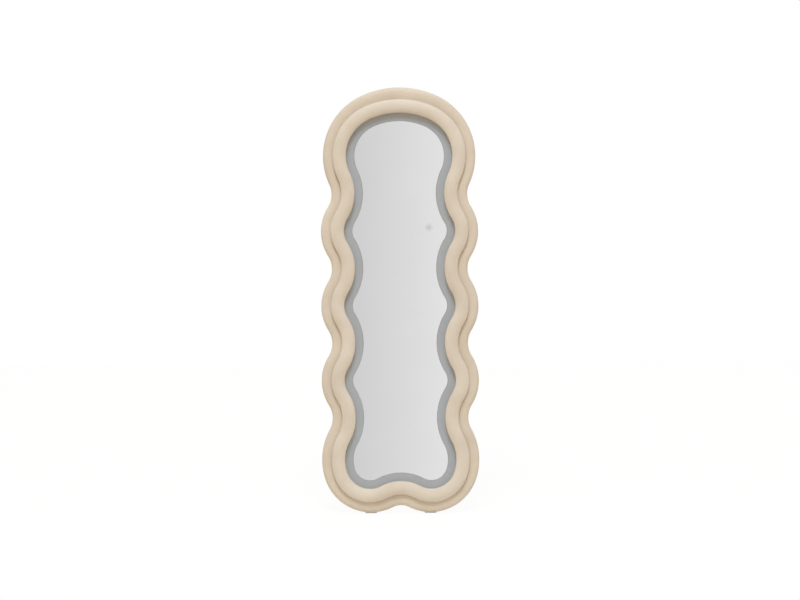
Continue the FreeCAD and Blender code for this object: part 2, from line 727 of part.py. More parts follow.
def route(name, points, bend):
    """A lead's path: straight runs joined by tangent arcs."""
    edges = []
    start = points[0]
    for before, corner, after in zip(points, points[1:], points[2:]):
        inward = (before - corner).normalize()
        outward = (after - corner).normalize()
        turn = math.pi - inward.getAngle(outward)
        cut = bend * math.tan(turn / 2)
        first = corner + inward * cut
        last = corner + outward * cut
        bisector = (inward + outward).normalize()
        middle = corner + bisector * (bend / math.cos(turn / 2) - bend)
        edges.append(Part.LineSegment(start, first).toShape())
        edges.append(Part.Arc(first, middle, last).toShape())
        start = last
    edges.append(Part.LineSegment(start, points[-1]).toShape())
    made = doc.addObject("Part::Feature", f"{name}_route")
    made.Shape = Part.Wire(edges)
    return made


def lead(name, points, bend):
    path = route(name, points, bend)
    section = doc.addObject("Part::Circle", f"{name}_section")
    section.setExpression("Radius", "dims.lead_radius")
    section.Placement = Placement(points[0], Rotation(Z_AXIS, points[1] - points[0]))
    sweep = doc.addObject("Part::Sweep", f"{name}_sweep")
    sweep.Sections = [section]
    sweep.Spine = (path, [f"Edge{i + 1}" for i in range(len(path.Shape.Edges))])
    sweep.Solid = True
    return sweep


def lead_level():
    return -num("dims.panel_thickness + dims.core_thickness / 2")


def supply_lead():
    """From the inlet through the board and up the groove to the controller."""
    level = lead_level()
    start = Vector(0, num("dims.inlet_depth / 2 - 1"), num("dims.inlet_z"))
    points = [start, Vector(0, level, num("dims.inlet_z")), Vector(0, level, num(TOUCH_Z))]
    points.append(Vector(num(f"{TOUCH_X} - dims.touch_length / 2"), level, num(TOUCH_Z)))
    return lead("supply", points, num("dims.lead_radius * 3"))


def light_lead():
    """From the controller across to the light strip."""
    level = lead_level()
    z = num(TOUCH_Z)
    chips = num("dims.core_inset + dims.strip_thickness + dims.chip_height")
    ray = Part.makeLine(Vector(0, 0, z), Vector(num("dims.width"), 0, z))
    reach = inner_wire(chips).distToShape(ray)[1][0][0].x - num("dims.lead_clear")
    points = [Vector(num(f"{TOUCH_X} + dims.touch_length / 2"), level, z)]
    points.append(Vector(reach, level, z))
    points.append(Vector(reach, level, z - num("dims.lead_drop")))
    return lead("light", points, num("dims.lead_radius * 3"))


# Wall hangers.

def hanger(side):
    """Steel plate with a keyhole, over a well in the boards."""
    body = doc.addObject("PartDesign::Body", f"hanger_body_{side}")
    sketch = body_sketch(body, "hanger_outline", "XZ_Plane")
    half = "dims.hanger_width / 2"
    tall = "dims.hanger_length / 2"
    trace(sketch, [(f"-({half})", f"-({tall})"), (f"-({half})", tall), (half, tall), (half, f"-({tall})")])
    pad = feature(body, "Pad", "hanger_plate", sketch, "dims.hanger_thickness")
    pad.Reversed = True
    entry = body_sketch(body, "hanger_entry_outline", "XZ_Plane")
    low = "-dims.keyhole_rise / 2"
    circle(entry, "0", low, "dims.keyhole_radius")
    feature(body, "Pocket", "hanger_entry", entry, None, through=True)
    slot = body_sketch(body, "hanger_slot_outline", "XZ_Plane")
    narrow = "dims.keyhole_slot"
    top = "dims.keyhole_rise / 2"
    corners = [(f"-({narrow})", low), (f"-({narrow})", top), ("0", f"{top} + {narrow}")]
    corners += [(narrow, top), (narrow, low)]
    trace(slot, corners, {1: narrow, 2: narrow})
    feature(body, "Pocket", "hanger_slot", slot, None, through=True)
    holes = body_sketch(body, "hanger_hole_outline", "XZ_Plane")
    for sign in ("", "-"):
        circle(holes, "0", f"{sign}(dims.hanger_length / 2 - dims.hole_margin)", "dims.hole_radius")
    feature(body, "Pocket", "hanger_holes", holes, None, through=True)
    return body, shift(side * num(HANGER_X), 0, num(HANGER_Z))


# Folding stand. Its own frame has the pivot axis at the origin and the legs
# hanging along -Z, as they lie when folded against the panel.

def leg_length():
    return num("dims.hinge_z - dims.sleeve_radius - dims.fold_gap")


def open_angle():
    """Angle between leg and panel with the foot bar on the floor, degrees."""
    lean = math.radians(num("dims.lean"))
    rise = num("dims.hinge_z") * math.cos(lean) - num("dims.hinge_y") * math.sin(lean)
    rise += num("dims.floor_drop - dims.sleeve_radius")
    return num("dims.lean") + math.degrees(math.acos(rise / leg_length()))


def stand_place():
    hinge = Vector(0, num("dims.hinge_y"), num("dims.hinge_z"))
    return Placement(hinge, Rotation(X_AXIS, open_angle()))


def stand_tube():
    body = doc.addObject("PartDesign::Body", "tube_body")
    path = body_sketch(body, "tube_path", "XZ_Plane")
    leg = num("dims.leg_x")
    low = -leg_length()
    bend = num("dims.tube_bend")
    top = -num("dims.eye_neck")
    straight = [
        (Vector(-leg, top, 0), Vector(-leg, low + bend, 0)),
        (Vector(-leg + bend, low, 0), Vector(leg - bend, low, 0)),
        (Vector(leg, low + bend, 0), Vector(leg, top, 0)),
    ]
    lines = [path.addGeometry(Part.LineSegment(*ends), False) for ends in straight]
    arcs = []
    for side, begin in ((-1, math.pi), (1, 1.5 * math.pi)):
        centre = Vector(side * (leg - bend), low + bend, 0)
        corner = Part.ArcOfCircle(Part.Circle(centre, Z_AXIS, bend), begin, begin + math.pi / 2)
        arcs.append(path.addGeometry(corner, False))
    chain = [(lines[0], arcs[0]), (arcs[0], lines[1]), (lines[1], arcs[1]), (arcs[1], lines[2])]
    for geo, following in chain:
        path.addConstraint(Sketcher.Constraint("Tangent", geo, 2, following, 1))
    path.addConstraint(Sketcher.Constraint("Vertical", lines[0]))
    path.addConstraint(Sketcher.Constraint("Vertical", lines[2]))
    bind_corner(path, lines[0], 1, "-dims.leg_x", "-dims.eye_neck")
    bind_corner(path, lines[2], 2, "dims.leg_x", "-dims.eye_neck")
    for corner in arcs:
        bind(path, Sketcher.Constraint("Radius", corner, bend), "dims.tube_bend")
    drop = Sketcher.Constraint("DistanceY", -1, 1, lines[1], 1, low)
    bind(path, drop, f"-{LEG}")
    section = body_sketch(body, "tube_section", "XY_Plane", "-dims.eye_neck")
    circle(section, "-dims.leg_x", "0", "dims.tube_radius")
    circle(section, "-dims.leg_x", "0", "dims.tube_radius - dims.tube_wall")
    doc.recompute()
    pipe = body.newObject("PartDesign::AdditivePipe", "tube_pipe")
    pipe.Profile = section
    pipe.Spine = (path, [f"Edge{i + 1}" for i in range(5)])
    doc.recompute()
    return body


def stand_eye(side):
    """Eye on the pivot bolt, with a shank pushed into the tube."""
    body = doc.addObject("PartDesign::Body", f"eye_body_{side}")
    ring_sketch = body_sketch(body, "eye_ring", "YZ_Plane")
    circle(ring_sketch, "0", "0", "dims.eye_radius")
    feature(body, "Pad", "eye_barrel", ring_sketch, "dims.eye_width", both=True)
    collar = body_sketch(body, "eye_collar_outline", "XY_Plane", "-dims.eye_neck")
    circle(collar, "0", "0", "dims.tube_radius - dims.tube_wall / 2")
    feature(body, "Pad", "eye_collar", collar, "dims.eye_neck - dims.eye_radius / 2")
    shank = body_sketch(body, "eye_shank_outline", "XY_Plane", "-dims.eye_neck")
    circle(shank, "0", "0", "dims.tube_radius - dims.tube_wall - dims.pivot_clearance")
    tail = feature(body, "Pad", "eye_shank", shank, "dims.eye_insert")
    tail.Reversed = True
    doc.recompute()
    bore = body_sketch(body, "eye_bore_outline", "YZ_Plane")
    circle(bore, "0", "0", "dims.pivot_radius + dims.pivot_clearance")
    hole = feature(body, "Pocket", "eye_bore", bore, None, through=True)
    hole.Midplane = True
    doc.recompute()
    return body, shift(side * num("dims.leg_x"), 0, 0)


def foot_sleeve(side):
    middle = side * num(f"{FOOT_BAR} - dims.sleeve_x")
    long = "dims.sleeve_length"
    start = Vector(middle - num(f"{long} / 2"), 0, -leg_length())
    place = Placement(start, Rotation(Y_AXIS, 90))
    outer = primitive("Cylinder", f"sleeve_out_{side}", place, Radius="dims.sleeve_radius", Height=long)
    bore = "dims.tube_radius + dims.press_fit"
    inner = primitive("Cylinder", f"sleeve_in_{side}", place, Radius=bore, Height=long)
    return boolean("Cut", f"sleeve_{side}", outer, inner)


def stop_centre():
    """Stop pin's centre from the pivot, in the upright panel."""
    away = num("dims.tube_radius + dims.stop_radius + dims.stop_gap")
    opened = Rotation(X_AXIS, open_angle())
    return opened.multVec(Vector(0, away, -num("dims.stop_reach")))


def hinge_bracket(side):
    """Folded sheet bracket: a base on the board and two ears for the pivot."""
    body = doc.addObject("PartDesign::Body", f"bracket_body_{side}")
    base = body_sketch(body, "bracket_base_outline", "XZ_Plane")
    half = "dims.bracket_width / 2"
    up = "dims.bracket_up"
    down = "-dims.bracket_down"
    trace(base, [(f"-({half})", down), (f"-({half})", up), (half, up), (half, down)])
    foot = feature(body, "Pad", "bracket_base", base, "dims.plate_thickness")
    foot.Reversed = True
    doc.recompute()
    stop = stop_centre()
    reach = stop.y + num("dims.stop_radius + dims.stop_margin")
    ears = body_sketch(body, "bracket_ear_outline", "YZ_Plane")
    top = "dims.pivot_radius + dims.ear_margin"
    tip = f"dims.hinge_y + {reach:.6f}"
    corners = [("0", "dims.ear_lift - dims.bracket_down"), ("0", top), ("dims.hinge_y", top)]
    corners += [(f"dims.hinge_y + {top}", "0"), (tip, f"{stop.z:.6f}")]
    corners += [(tip, f"{stop.z:.6f} - dims.ear_drop")]
    trace(ears, corners, {2: top})
    feature(body, "Pad", "bracket_ears", ears, "dims.ear_gap + 2 * dims.plate_thickness", both=True)
    gap = body_sketch(body, "bracket_gap_outline", "XY_Plane")
    wide = "dims.ear_gap / 2"
    far = f"dims.hinge_y + {reach:.6f} + dims.stop_margin"
    near = "dims.plate_thickness"
    trace(gap, [(f"-({wide})", near), (f"-({wide})", far), (wide, far), (wide, near)])
    cut = feature(body, "Pocket", "bracket_gap", gap, None, through=True)
    cut.Midplane = True
    doc.recompute()
    bores = body_sketch(body, "bracket_bore_outline", "YZ_Plane")
    circle(bores, "dims.hinge_y", "0", "dims.pivot_radius + dims.pivot_clearance")
    circle(bores, f"dims.hinge_y + {stop.y:.6f}", f"{stop.z:.6f}", "dims.stop_radius + dims.press_fit")
    drilled = feature(body, "Pocket", "bracket_bores", bores, None, through=True)
    drilled.Midplane = True
    doc.recompute()
    holes = body_sketch(body, "bracket_hole_outline", "XZ_Plane")
    for sign in ("", "-"):
        x = f"{sign}(dims.bracket_width / 2 - dims.hole_margin)"
        circle(holes, x, "dims.bracket_up - dims.hole_margin", "dims.hole_radius")
        circle(holes, x, "dims.hole_margin - dims.bracket_down", "dims.hole_radius")
    feature(body, "Pocket", "bracket_holes", holes, None, through=True)
    return body, shift(side * num("dims.leg_x"), 0, num("dims.hinge_z"))


def pivot_bolts():
    """One bolt per bracket, its head on the outer ear."""
    radius = num("dims.pivot_radius")
    grip = num("dims.ear_gap / 2 + dims.plate_thickness")
    length = 2 * grip + num("dims.bolt_tail")
    bolts = []
    for side in (-1, 1):
        outer_ear = Vector(side * (num("dims.leg_x") + grip), num("dims.hinge_y"), num("dims.hinge_z"))
        shank = Part.makeCylinder(radius, length, outer_ear, X_AXIS * -side)
        head = Part.makeCylinder(num("dims.bolt_head"), num("dims.bolt_rise"), outer_ear, X_AXIS * side)
        bolts.append(shank.fuse(head).removeSplitter())
    return group("bolts", bolts)


def pivot_nuts():
    """Hexagon nuts on the inner ears."""
    height = num("dims.nut_height")
    grip = num("dims.ear_gap / 2 + dims.plate_thickness")
    nuts = []
    for side in (-1, 1):
        inner_ear = Vector(side * (num("dims.leg_x") - grip), num("dims.hinge_y"), num("dims.hinge_z"))
        corners = []
        for i in range(7):
            angle = math.radians(60 * i)
            corners.append(Vector(0, math.cos(angle), math.sin(angle)) * num("dims.nut_radius"))
        block = Part.Face(Part.makePolygon(corners)).extrude(X_AXIS * -side * height)
        radius = num("dims.pivot_radius + dims.press_fit")
        bore = Part.makeCylinder(radius, 2 * height, X_AXIS * -height, X_AXIS)
        block = block.cut(bore)
        block.translate(inner_ear)
        nuts.append(block)
    return group("nuts", nuts)


def stop_pins():
    grip = num("dims.ear_gap / 2 + dims.plate_thickness")
    centre = stop_centre()
    pins = []
    for side in (-1, 1):
        pivot = Vector(side * num("dims.leg_x"), num("dims.hinge_y"), num("dims.hinge_z"))
        start = pivot + centre - X_AXIS * grip
        pins.append(Part.makeCylinder(num("dims.stop_radius"), 2 * grip, start, X_AXIS))
    return group("stops", pins)


def floor_pad(side):
    """Rubber pad under a lobe: top follows the lobe, underside lies level."""
    lobe_x, _, lobe, _ = line_circles(OUTLINE)[-2]
    half = num("dims.foot_length / 2")
    front = -num("dims.foot_level + dims.foot_depth")
    block = primitive(
        "Box",
        f"foot_block_{side}",
        shift(side * lobe_x - half, front, -num("2 * dims.foot_depth")),
        Length="dims.foot_length",
        Width="dims.foot_depth",
        Height="3 * dims.foot_depth",
    )
    lobe_place = Placement(Vector(side * lobe_x, front - 1, lobe), Rotation(X_AXIS, -90))
    round_wall = doc.addObject("Part::Cylinder", f"foot_wall_{side}")
    round_wall.Radius = lobe + num("dims.press_fit")
    round_wall.setExpression("Height", "dims.foot_depth + 2")
    round_wall.Placement = lobe_place
    shaped = boolean("Cut", f"foot_shaped_{side}", block, round_wall)
    level = Rotation(X_AXIS, num("dims.lean"))
    corner = Vector(-num("dims.width"), -num("dims.width / 2"), -num("dims.width + dims.floor_drop"))
    floor_block = primitive(
        "Box",
        f"foot_floor_{side}",
        Placement(level.multVec(corner), level),
        Length="2 * dims.width",
        Width="dims.width",
        Height="dims.width",
    )
    return boolean("Cut", f"foot_{side}", shaped, floor_block)


# Assembly: each piece is placed in the upright panel or on the open stand.

def on_stand(made):
    """Moves a stand piece from the stand's own frame to the open stand."""
    piece, place = made if isinstance(made, tuple) else (made, Placement())
    return piece, stand_place().multiply(place)


pieces_made = {
    "back_panel": back_panel(),
    "lower_core": lower_core(),
    "lower_padding": lower_padding(),
    "upper_core": upper_core(),
    "upper_padding": upper_padding(),
    "light_band": light_band(),
    "mirror_glass": mirror_glass(),
    "mirror_backing": mirror_backing(),
    "mirror_tapes": mirror_tapes(),
    "light_strip": light_strip(),
    "light_chips": light_chips(),
    "touch_module": touch_module(),
    "touch_disc": touch_disc(),
    "inlet_housing": inlet_housing(),
    "power_socket": power_socket(),
    "supply_lead": supply_lead(),
    "light_lead": light_lead(),
    "left_hanger": hanger(-1),
    "right_hanger": hanger(1),
    "left_hinge_bracket": hinge_bracket(-1),
    "right_hinge_bracket": hinge_bracket(1),
    "pivot_bolts": pivot_bolts(),
    "pivot_nuts": pivot_nuts(),
    "stop_pins": stop_pins(),
    "left_floor_pad": floor_pad(-1),
    "right_floor_pad": floor_pad(1),
    "stand_tube": on_stand(stand_tube()),
    "left_stand_eye": on_stand(stand_eye(-1)),
    "right_stand_eye": on_stand(stand_eye(1)),
    "left_foot_sleeve": on_stand(foot_sleeve(-1)),
    "right_foot_sleeve": on_stand(foot_sleeve(1)),
}
doc.recompute()

# The upright panel leans back, then the whole is moved so that the origin
# lies on the floor, midway between its sides and its front and back.
leaning = Rotation(X_AXIS, -num("dims.lean"))


def settle(move):
    for node, made in pieces_made.items():
        piece, place = made if isinstance(made, tuple) else (made, piece_places[node])
        piece.Label = node
        piece.Placement = Placement(move, leaning).multiply(place)
    doc.recompute()


piece_places = {}
for node, made in pieces_made.items():
    if not isinstance(made, tuple):
        piece_places[node] = made.Placement.copy()
settle(Vector())
box = FreeCAD.BoundBox()
for made in pieces_made.values():
    piece = made[0] if isinstance(made, tuple) else made
    box.add(piece.Shape.optimalBoundingBox(False, False))
settle(Vector(0, -box.Center.y, -box.ZMin))

failed = [item.Name for item in doc.Objects if "Invalid" in item.State or "Error" in item.State]
if failed:
    raise RuntimeError(f"failed objects: {failed}")
for node, made in pieces_made.items():
    piece = made[0] if isinstance(made, tuple) else made
    if piece.Shape.isNull() or not piece.Shape.isValid() or not piece.Shape.Solids:
        raise RuntimeError(f"bad shape: {node}")

os.makedirs("parts", exist_ok=True)
for node, made in pieces_made.items():
    piece = made[0] if isinstance(made, tuple) else made
    piece.Shape.exportStep(f"parts/{node}.step")
hinge = Placement(Vector(0, -box.Center.y, -box.ZMin), leaning).multVec(stand_place().Base)
print(f"stand pivot {hinge}, opens {open_angle():.3f} degrees, leg {leg_length():.1f} mm")
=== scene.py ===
import json
import math

import bmesh
import bpy
from mathutils import Matrix, Vector, noise

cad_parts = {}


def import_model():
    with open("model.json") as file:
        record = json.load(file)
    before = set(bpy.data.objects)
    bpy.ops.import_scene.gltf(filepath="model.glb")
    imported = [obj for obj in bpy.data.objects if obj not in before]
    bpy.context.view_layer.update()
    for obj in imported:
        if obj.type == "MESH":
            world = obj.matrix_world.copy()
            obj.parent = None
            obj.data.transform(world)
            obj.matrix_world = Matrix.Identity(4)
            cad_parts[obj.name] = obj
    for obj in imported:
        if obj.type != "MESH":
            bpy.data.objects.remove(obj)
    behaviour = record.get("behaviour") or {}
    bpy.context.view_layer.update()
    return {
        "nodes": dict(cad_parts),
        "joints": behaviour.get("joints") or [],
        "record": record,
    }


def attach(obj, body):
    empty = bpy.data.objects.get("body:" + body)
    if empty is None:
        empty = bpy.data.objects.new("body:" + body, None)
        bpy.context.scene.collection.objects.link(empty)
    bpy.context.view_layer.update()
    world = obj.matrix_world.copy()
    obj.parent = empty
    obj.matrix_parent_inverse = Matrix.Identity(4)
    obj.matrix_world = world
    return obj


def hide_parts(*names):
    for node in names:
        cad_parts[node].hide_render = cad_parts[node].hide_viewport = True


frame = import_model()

# Lengths are in metres. The panel's own frame has X across, Z up, the back
# board's rear face at Y = 0 and the front towards -Y, as the solids have it.
MM = 0.001
LEAN = math.radians(9)
HINGE_Y = 18 * MM
HINGE_Z = 1000 * MM
HEIGHT = 1600 * MM
HALF_WIDTH = 296 * MM
WAVE_DEPTH = 40.5 * MM
LEAST_PITCH = 265 * MM
WAIST = 90 * MM
CROWN_INSET = 9 * MM
SHOULDER_OFFSET = 36 * MM
CROWN_TURN = math.radians(66)
SIDE_OFFSET = 60 * MM
LOBE_STEP = 55 * MM
LOBE_TURN = math.radians(19)
NOTCH = 68 * MM
LOWER_TIER = 37.3 * MM
CROWN_FLAT = 11.7 * MM
LOBE_RISE = 3.7 * MM
UPPER_TIER = 49.7 * MM
TUCK_UNDER = 12 * MM
SEAM_PLAY = 2 * MM
LOWER_TOP = 30 * MM
LOWER_ROUND = 16 * MM
LOWER_CROWN = 200 * MM
UPPER_WALL = 41 * MM
UPPER_RISE = 9 * MM
UPPER_CORE_OUT = 15 * MM
UPPER_CORE_IN = 36 * MM
UPPER_CORE_TOP = 39 * MM
BOARD = 5 * MM
CORE_TOP = 17 * MM
GLASS_TOP = 21 * MM
SEAM_GAP = 0.4 * MM

# Touch spot: where it is, how far it reaches and how it fades out
TOUCH_X = 111 * MM
TOUCH_Z = 1072 * MM
SPOT_RADIUS = 22 * MM
SPOT_DOME = 0.06 * MM
SPOT_LIFT = 0.05 * MM
SPOT_CORE = 2 * MM
SPOT_FADE = 20 * MM
SPOT_ALPHA = 0.18

# Padding, as swept and as cloth
PATH_STEP = 6 * MM
UNEVENNESS = 0.3 * MM
UNEVEN_SCALE = 14
PUFF = 0.8 * MM
PUFF_FRAMES = 20

# Wood screws: their heads, seats and places
SCREW_HEAD = 4 * MM
SCREW_RISE = 2 * MM
SCREW_SHANK = 1.9 * MM
SCREW_STUB = 1.5 * MM
RECESS_LENGTH = 4.2 * MM
RECESS_WIDTH = 0.9 * MM
RECESS_DEPTH = 1.2 * MM
SCREW_TURN = 0.7
SCREW_MARGIN = 7 * MM
CLAMP_INSET = 59.5 * MM
CLAMP_COUNT = 14
LEG_X = 140 * MM
BRACKET_HALF = 29 * MM
BRACKET_ABOVE = 20 * MM
BRACKET_BELOW = 42 * MM
BRACKET_PLATE = 2 * MM
HANGER_X = 130 * MM
HANGER_Z = 1340 * MM
HANGER_HALF = 31 * MM
HANGER_PLATE = 2 * MM
INLET_Z = 330 * MM
INLET_HALF = 23 * MM
INLET_FLANGE = 3 * MM

# Floor and light
FLOOR_HALF = 3
FLOOR_FRONT = -1
FLOOR_BACK = 3
FLOOR_WHITE = 0.94
SOFT_LIGHT = 0.72
WARM = (1.2, 1, 0.76, 1)
NEUTRAL = (0.98, 1, 1, 1)
WHITE = (1, 1, 1, 1)
ROOM_EDGE = 0.0198
ROOM_LEFT = 0.69
ROOM_RIGHT = 0.85
KEY_PLACE = (-0.4, -4.2, 9.8)
KEY_TARGET = (0, 0, 0.8)
KEY_SIZE = (4.2, 3.5)
KEY_POWER = 585
KEY_COLOUR = (0.87, 1, 1.2)

# The photograph's frame and how it sees the panel
FRAME_WIDTH = 800
PIXEL = 3.767 * MM
CAMERA_DISTANCE = 9.0
CAMERA_LEVEL = 12 * MM
CAMERA_ROLL = math.radians(-0.308)
AIM_RIGHT = 0.12 * PIXEL
AIM_DOWN = 0.2 * PIXEL
SENSOR = 36

hinge = Vector(frame["joints"][0]["pos_m"])
PANEL = (
    Matrix.Translation(hinge)
    @ Matrix.Rotation(-LEAN, 4, "X")
    @ Matrix.Translation((0, -HINGE_Y, -HINGE_Z))
)
FACE_FRONT = Matrix.Rotation(math.pi / 2, 4, "X")


def srgb(red, green, blue):
    """A colour as it is read off a screen, 0 to 255, made linear."""
    def linear(value):
        share = value / 255
        return share / 12.92 if share <= 0.04045 else ((share + 0.055) / 1.055) ** 2.4

    return (linear(red), linear(green), linear(blue), 1)


# A wavy line is a chain of tangent arcs from the crown down to the notch. The
# lower tier follows the outline, and all that lies inside it the seam line.
# Each line has an inset, a flatter crown and higher lobes than the outline's.
OUTLINE = (0, 0, 0)
SEAM_LINE = (LOWER_TIER, CROWN_FLAT, LOBE_RISE)


def line_circles(shape):
    """Centre across, centre height, radius and +1 or -1 for swell or hollow."""
    inset, flat, rise = shape
    waist = WAIST + inset
    outer_shoulder = HALF_WIDTH - CROWN_INSET - SHOULDER_OFFSET
    shoulder_z = HEIGHT - outer_shoulder
    shoulder_z -= SHOULDER_OFFSET * (1 - math.sin(CROWN_TURN)) / math.cos(CROWN_TURN)
    shoulder = outer_shoulder - inset - flat
    shoulder_x = SHOULDER_OFFSET + flat
    crown = shoulder + shoulder_x / math.cos(CROWN_TURN)
    crown_z = shoulder_z - (crown - shoulder) * math.sin(CROWN_TURN)
    waist_x = HALF_WIDTH - inset - WAVE_DEPTH + waist
    top_waist = shoulder_z - math.sqrt((shoulder + waist) ** 2 - (waist_x - shoulder_x) ** 2)
    hip = HALF_WIDTH - SIDE_OFFSET - inset
    hip_z = HALF_WIDTH - SIDE_OFFSET - LOBE_STEP * (1 - math.sin(LOBE_TURN))
    step = LOBE_STEP + rise
    lobe = hip - step
    lobe_x = SIDE_OFFSET + step * math.cos(LOBE_TURN)
    lobe_z = hip_z - step * math.sin(LOBE_TURN)
    low_waist = hip_z + math.sqrt((hip + waist) ** 2 - (waist_x - SIDE_OFFSET) ** 2)
    waves = max(1, math.floor((top_waist - low_waist) / LEAST_PITCH))
    pitch = (top_waist - low_waist) / waves
    bulge = (WAVE_DEPTH ** 2 + pitch ** 2 / 4) / (2 * WAVE_DEPTH) - waist
    notch = NOTCH + inset
    notch_z = lobe_z - math.sqrt((lobe + notch) ** 2 - lobe_x ** 2)
    chain = [(0, crown_z, crown, 1), (shoulder_x, shoulder_z, shoulder, 1)]
    for i in range(waves):
        chain.append((waist_x, top_waist - i * pitch, waist, -1))
        chain.append((HALF_WIDTH - inset - bulge, top_waist - (i + 0.5) * pitch, bulge, 1))
    chain.append((waist_x, low_waist, waist, -1))
    chain.append((SIDE_OFFSET, hip_z, hip, 1))
    chain.append((lobe_x, lobe_z, lobe, 1))
    chain.append((0, notch_z, notch, -1))
    return chain


def touch_points(chain):
    """Where each arc hands over to the next, as (across, height)."""
    points = [Vector((0, chain[0][1] + chain[0][2]))]
    for (x1, z1, r1, s1), (x2, z2, r2, s2) in zip(chain, chain[1:]):
        here = Vector((x1, z1))
        towards = (Vector((x2, z2)) - here).normalized()
        if s1 == s2 and r1 < r2:
            towards = -towards
        points.append(here + towards * r1)
    points.append(Vector((0, chain[-1][1] + chain[-1][2])))
    return points


def line_path(shape):
    """Points round a whole wavy line with their inward directions."""
    chain = line_circles(shape)
    points = touch_points(chain)
    half = []
    for (x, z, radius, swell), start, stop in zip(chain, points, points[1:]):
        centre = Vector((x, z))
        first = math.atan2(start.y - z, start.x - x)
        last = math.atan2(stop.y - z, stop.x - x)
        turn = (last - first + math.pi) % (2 * math.pi) - math.pi
        count = max(3, math.ceil(abs(turn) * radius / PATH_STEP))
        for i in range(count):
            angle = first + turn * i / count
            ray = Vector((math.cos(angle), math.sin(angle)))
            half.append((centre + ray * radius, -ray * swell))
    end = points[-1]
    right = half + [(end, Vector((0, 1)))]
    left = [(Vector((-p.x, p.y)), Vector((-n.x, n.y))) for p, n in reversed(half[1:])]
    return right + left


def arc(centre, radius, first, last, count):
    """Section points on an arc, angles in degrees."""
    points = []
    for i in range(count + 1):
        angle = math.radians(first + (last - first) * i / count)
        points.append((centre[0] + radius * math.cos(angle), centre[1] + radius * math.sin(angle)))
    return points


def line(first, last, count):
    """Section points on a straight run, without its last point."""
    return [
        (first[0] + (last[0] - first[0]) * i / count, first[1] + (last[1] - first[1]) * i / count)
        for i in range(count)
    ]


def mesh_object(name, bm, material, smooth=True, sharp=40):
    """A new object from a bmesh, shaded smooth up to the sharp angle."""
    bmesh.ops.recalc_face_normals(bm, faces=bm.faces)
    mesh = bpy.data.meshes.new(name)
    bm.to_mesh(mesh)
    bm.free()
    if smooth:
        mesh.shade_smooth()
        mesh.set_sharp_from_angle(angle=math.radians(sharp))
    made = bpy.data.objects.new(name, mesh)
    bpy.context.scene.collection.objects.link(made)
    mesh.materials.append(material)
    return made


def swept(path, section, loose):
    """A closed section of (inset, level) points carried round a wavy line.
    A slow unevenness moves its loose points."""
    bm = bmesh.new()
    rings = []
    for point, inward in path:
        ring = []
        for i, (inset, level) in enumerate(section):
            at = point + inward * inset
            place = Vector((at.x, -level, at.y))
            if i in loose:
                place.y -= noise.noise(place * UNEVEN_SCALE) * UNEVENNESS
            ring.append(bm.verts.new(PANEL @ place))
        rings.append(ring)
    count = len(section)
    for here, there in zip(rings, rings[1:] + rings[:1]):
        for i in range(count):
            j = (i + 1) % count
            bm.faces.new((here[i], here[j], there[j], there[i]))
    return bm


# Materials. Each has its own change of colour on the object's coordinates; most
# also have an uneven roughness and a relief.
EVEN = (1, 1, 1)


def new_material(name):
    material = bpy.data.materials.new(name)
    material.use_nodes = True
    return material, material.node_tree.nodes, material.node_tree.links


def noise_node(material, scale, detail=4, roughness=0.55, stretch=EVEN):
    """Noise on the object's own coordinates, stretched along its axes."""
    nodes, links = material.node_tree.nodes, material.node_tree.links
    place = nodes.new("ShaderNodeTexCoord")
    mapping = nodes.new("ShaderNodeMapping")
    mapping.inputs["Scale"].default_value = stretch
    texture = nodes.new("ShaderNodeTexNoise")
    texture.inputs["Scale"].default_value = scale
    texture.inputs["Detail"].default_value = detail
    texture.inputs["Roughness"].default_value = roughness
    links.new(place.outputs["Object"], mapping.inputs["Vector"])
    links.new(mapping.outputs["Vector"], texture.inputs["Vector"])
    return texture


def ramp(material, source, low, high, start=0.3, stop=0.7):
    """Two colours across a noise."""
    nodes, links = material.node_tree.nodes, material.node_tree.links
    made = nodes.new("ShaderNodeValToRGB")
    made.color_ramp.elements[0].position = start
    made.color_ramp.elements[0].color = low
    made.color_ramp.elements[1].position = stop
    made.color_ramp.elements[1].color = high
    links.new(source.outputs["Fac"], made.inputs["Fac"])
    return made


def spread(material, source, low, high):
    """A noise turned into a value between two limits."""
    nodes, links = material.node_tree.nodes, material.node_tree.links
    made = nodes.new("ShaderNodeMapRange")
    made.inputs["From Min"].default_value = 0.3
    made.inputs["From Max"].default_value = 0.7
    made.inputs["To Min"].default_value = low
    made.inputs["To Max"].default_value = high
    links.new(source.outputs["Fac"], made.inputs["Value"])
    return made


def relief(material, source, distance, strength=0.5):
    """Bump from a noise, linked to the shader."""
    nodes, links = material.node_tree.nodes, material.node_tree.links
    bump = nodes.new("ShaderNodeBump")
    bump.inputs["Strength"].default_value = strength
    bump.inputs["Distance"].default_value = distance
    links.new(source.outputs["Fac"], bump.inputs["Height"])
    links.new(bump.outputs["Normal"], nodes["Principled BSDF"].inputs["Normal"])


def finish(name, low, high, rough, patch, grain, depth, metal, stretch):
    """A surface with slow patches of colour and a fine grain."""
    material, nodes, links = new_material(name)
    shader = nodes["Principled BSDF"]
    patches = noise_node(material, patch, 5, 0.6, stretch)
    grains = noise_node(material, grain, 3, 0.6, stretch)
    tone = ramp(material, patches, srgb(*low), srgb(*high))
    links.new(tone.outputs["Color"], shader.inputs["Base Color"])
    links.new(spread(material, grains, *rough).outputs["Result"], shader.inputs["Roughness"])
    relief(material, grains, depth * MM)
    shader.inputs["Metallic"].default_value = metal
    return material


